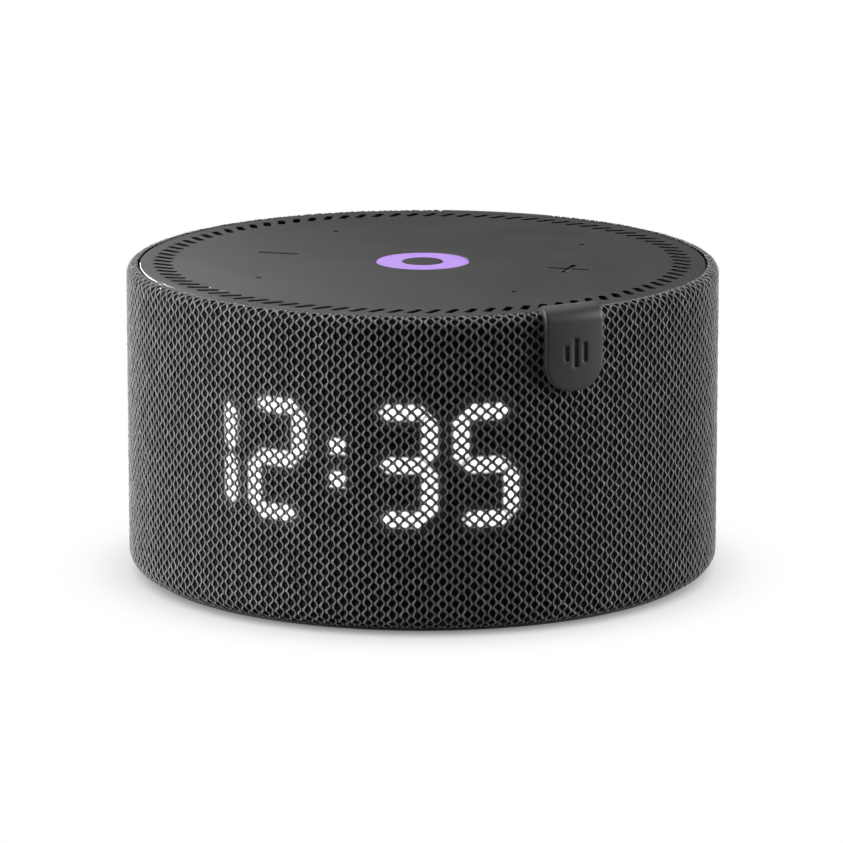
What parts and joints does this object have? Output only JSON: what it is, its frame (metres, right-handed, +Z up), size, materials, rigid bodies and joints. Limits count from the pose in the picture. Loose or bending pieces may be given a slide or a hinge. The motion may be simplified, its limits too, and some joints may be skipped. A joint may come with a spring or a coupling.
{
  "type": "smart speaker",
  "caption": "Compact round smart speaker with a knitted side, a clock display behind the knit, a touch plate with a ring of sound slots, a rear mute slider and a USB-C inlet.",
  "frame": {"origin": "centre of the underside, on the surface it stands on", "axes": "+Z up out of the touch plate, -Y towards the clock display, +Y towards the rear spine with the power inlet, +X to the right seen from the front"},
  "size_m": [0.098, 0.098, 0.0527],
  "materials": {
    "knit_fabric": "coarse open warp-knit mesh of grey yarn over a dark fine under-layer",
    "touch_plate_plastic": "fine matt moulded plastic, charcoal",
    "case_plastic": "fine matt moulded plastic, near black",
    "black_plastic": "plain black plastic",
    "foot_rubber": "matt black rubber",
    "silicone": "satin charcoal silicone, debossed",
    "glow_diffuser": "frosted clear plastic lit violet from below",
    "white_diffuser": "frosted white light-guide plastic",
    "circuit_board": "green solder mask on glass-epoxy board",
    "black_circuit_board": "black solder mask on glass-epoxy board",
    "steel": "bright stamped steel",
    "dark_steel": "black zinc and black painted steel",
    "ferrite": "sintered dark grey ferrite",
    "aluminium": "rolled aluminium sheet",
    "paper_cone": "coated black paper and polypropylene",
    "copper": "enamelled copper",
    "spider_cloth": "resin-stiffened corrugated cloth",
    "foam": "closed-cell black foam",
    "polyimide": "amber polyimide flexible circuit",
    "red_insulation": "red wire insulation"
  },
  "bodies": {
    "housing": {"aerial_lead": "black_plastic", "base_cover": "case_plastic", "base_screw_1": "dark_steel", "base_screw_2": "dark_steel", "base_screw_3": "dark_steel", "base_screw_4": "dark_steel", "display_flex": "polyimide", "display_led_board": "circuit_board", "display_light_guide": "white_diffuser", "display_mask": "black_plastic", "driver_basket": "dark_steel", "driver_gasket": "foam", "driver_screw_1": "steel", "driver_screw_2": "steel", "driver_screw_3": "steel", "driver_screw_4": "steel", "driver_spider": "spider_cloth", "driver_surround": "foot_rubber", "foot_ring": "foot_rubber", "glow_light_guide": "white_diffuser", "glow_ring": "glow_diffuser", "glow_ring_cap": "touch_plate_plastic", "heat_spreader": "aluminium", "knit_sleeve": "knit_fabric", "magnet_ring": "ferrite", "magnet_top_plate": "steel", "magnet_yoke": "steel", "main_board": "circuit_board", "microphone_1": "steel", "microphone_2": "steel", "microphone_3": "steel", "microphone_4": "steel", "microphone_gasket_1": "foam", "microphone_gasket_2": "foam", "microphone_gasket_3": "foam", "microphone_gasket_4": "foam", "mute_switch_body": "steel", "power_inductor": "ferrite", "processor_shield": "steel", "rear_spine": "case_plastic", "side_shell": "case_plastic", "silicone_tab": "silicone", "sound_deflector": "black_plastic", "speaker_box_lid": "case_plastic", "speaker_box_tub": "black_plastic", "speaker_lead_negative": "black_plastic", "speaker_lead_positive": "red_insulation", "storage_capacitor": "black_plastic", "switch_board": "circuit_board", "touch_board": "black_circuit_board", "touch_flex": "polyimide", "touch_plate": "touch_plate_plastic", "usb_c_inlet": "steel", "wifi_aerial": "copper", "wireless_module": "steel"},
    "diaphragm": {"driver_cone": "paper_cone", "driver_dust_cap": "paper_cone", "voice_coil": "copper"},
    "mute_knob": {"mute_knob": "touch_plate_plastic"},
    "switch_lever": {"mute_switch_lever": "black_plastic"}
  },
  "joints": [
    {"name": "diaphragm_travel", "type": "slide", "parent": "housing", "child": "diaphragm", "axis": [0, 0, 1], "range_m": [-0.0025, 0.0025], "stiffness_N_per_m": 650, "deforming": ["driver_surround", "driver_spider"]},
    {"name": "mute_slide", "type": "slide", "parent": "housing", "child": "mute_knob", "axis": [1, 0, 0], "range_m": [0, 0.003]},
    {"name": "switch_slide", "type": "slide", "parent": "housing", "child": "switch_lever", "axis": [1, 0, 0], "range_m": [0, 0.003]}
  ],
  "couplings": [
    {"joint": "switch_slide", "follows": "mute_slide", "ratio": 1}
  ]
}
